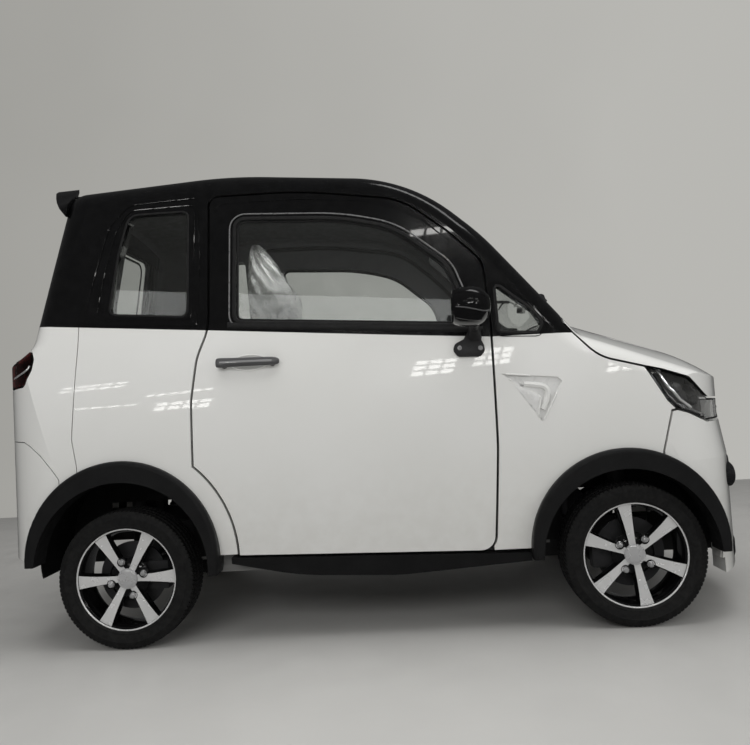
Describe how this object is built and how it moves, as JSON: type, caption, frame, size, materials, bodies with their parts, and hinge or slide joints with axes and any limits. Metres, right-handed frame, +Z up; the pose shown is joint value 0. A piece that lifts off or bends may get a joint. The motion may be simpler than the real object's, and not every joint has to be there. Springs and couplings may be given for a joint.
{
  "type": "enclosed mobility scooter",
  "caption": "Small enclosed electric cabin scooter with side doors, black glasshouse and roof, white lower body, opening bonnet and tailgate, steering front wheels and wide black wheel arches.",
  "frame": {"origin": "on the ground, under the middle of the vehicle's overall box", "axes": "+X towards the front of the vehicle, +Y towards its left side, +Z up"},
  "size_m": [2.6, 1.426, 1.6312],
  "materials": {
    "white_paint": "gloss",
    "black_paint": "gloss",
    "dark_plastic": "satin",
    "mirror_black": "gloss",
    "tinted_glass": "gloss",
    "clear_glass": "gloss",
    "lens_glass": "gloss",
    "red_lens": "gloss",
    "chrome_trim": "polished",
    "alloy": "machined",
    "tyre_rubber": "matte",
    "cast_part": "cast",
    "frame_steel": "satin",
    "grey_trim": "matte",
    "seat_cloth": "cloth",
    "wheel_grip": "satin"
  },
  "bodies": {
    "door_right": {"door_right_shell": "white_paint", "door_right_frame": "black_paint", "door_right_glass": "tinted_glass", "mirror_right": "mirror_black", "door_right_handle": "chrome_trim"},
    "door_left": {"door_left_shell": "white_paint", "door_left_frame": "black_paint", "door_left_glass": "tinted_glass", "mirror_left": "mirror_black", "door_left_handle": "chrome_trim"},
    "body": {"cabin_frame": "black_paint", "roof": "black_paint", "side_glass": "tinted_glass", "windscreen": "clear_glass", "front_fenders": "white_paint", "rear_fenders": "white_paint", "rear_corners": "white_paint", "rear_bumper": "white_paint", "front_bumper": "white_paint", "side_sills": "dark_plastic", "headlamp_lenses": "lens_glass", "headlamps": "dark_plastic", "tail_lamp_lenses": "red_lens", "tail_lamps": "dark_plastic", "arch_flares": "dark_plastic", "wheel_liners": "dark_plastic", "cabin_tub": "grey_trim", "chassis_frame": "frame_steel", "battery_box": "frame_steel", "front_suspension": "frame_steel", "rear_axle": "cast_part", "rear_springs": "frame_steel", "front_seats": "seat_cloth", "seat_frames": "frame_steel", "rear_bench": "seat_cloth", "dashboard": "dark_plastic", "steering_column": "dark_plastic", "towing_eyes": "frame_steel"},
    "bonnet": {"bonnet": "white_paint"},
    "tailgate": {"tailgate": "black_paint", "tailgate_glass": "tinted_glass"},
    "steering_wheel": {"steering_wheel": "wheel_grip"},
    "wheel_front_right": {"wheel_front_right_tyre": "tyre_rubber", "wheel_front_right_rim": "alloy", "wheel_front_right_hub": "cast_part"},
    "wheel_front_left": {"wheel_front_left_tyre": "tyre_rubber", "wheel_front_left_rim": "alloy", "wheel_front_left_hub": "cast_part"},
    "wheel_rear_right": {"wheel_rear_right_tyre": "tyre_rubber", "wheel_rear_right_rim": "alloy", "wheel_rear_right_hub": "cast_part"},
    "wheel_rear_left": {"wheel_rear_left_tyre": "tyre_rubber", "wheel_rear_left_rim": "alloy", "wheel_rear_left_hub": "cast_part"},
    "knuckle_right": {"knuckle_right": "cast_part"},
    "knuckle_left": {"knuckle_left": "cast_part"}
  },
  "joints": [
    {"name": "door_right_hinge", "type": "hinge", "parent": "body", "child": "door_right", "pos_m": [0.423, -0.572, 0.9], "axis": [0, 0, 1], "range_deg": [0, 65]},
    {"name": "door_left_hinge", "type": "hinge", "parent": "body", "child": "door_left", "pos_m": [0.423, 0.572, 0.9], "axis": [0, 0, -1], "range_deg": [0, 65]},
    {"name": "bonnet_hinge", "type": "hinge", "parent": "body", "child": "bonnet", "pos_m": [0.655, 0, 1.053], "axis": [0, -1, 0], "range_deg": [0, 50]},
    {"name": "tailgate_hinge", "type": "hinge", "parent": "body", "child": "tailgate", "pos_m": [-1.01, 0, 1.612], "axis": [0, 1, 0], "range_deg": [0, 75]},
    {"name": "steer_right", "type": "hinge", "parent": "body", "child": "knuckle_right", "pos_m": [0.83, -0.425, 0.227], "axis": [0, 0.2079, 0.9781], "range_deg": [-25, 25]},
    {"name": "steer_left", "type": "hinge", "parent": "body", "child": "knuckle_left", "pos_m": [0.83, 0.425, 0.227], "axis": [0, -0.2079, 0.9781], "range_deg": [-25, 25]},
    {"name": "steering_wheel_turn", "type": "hinge", "parent": "body", "child": "steering_wheel", "pos_m": [0.35916, 0.25, 0.84319], "axis": [-0.8829, 0, 0.4695], "range_deg": [-350, 350]},
    {"name": "front_right_spin", "type": "hinge", "parent": "knuckle_right", "child": "wheel_front_right", "pos_m": [0.83, -0.485, 0.227], "axis": [0, 1, 0], "continuous": true},
    {"name": "front_left_spin", "type": "hinge", "parent": "knuckle_left", "child": "wheel_front_left", "pos_m": [0.83, 0.485, 0.227], "axis": [0, 1, 0], "continuous": true},
    {"name": "rear_right_spin", "type": "hinge", "parent": "body", "child": "wheel_rear_right", "pos_m": [-0.825, -0.485, 0.227], "axis": [0, 1, 0], "continuous": true},
    {"name": "rear_left_spin", "type": "hinge", "parent": "body", "child": "wheel_rear_left", "pos_m": [-0.825, 0.485, 0.227], "axis": [0, 1, 0], "continuous": true}
  ],
  "couplings": [
    {"joint": "steer_left", "follows": "steer_right", "ratio": 1},
    {"joint": "steering_wheel_turn", "follows": "steer_right", "ratio": 14}
  ]
}
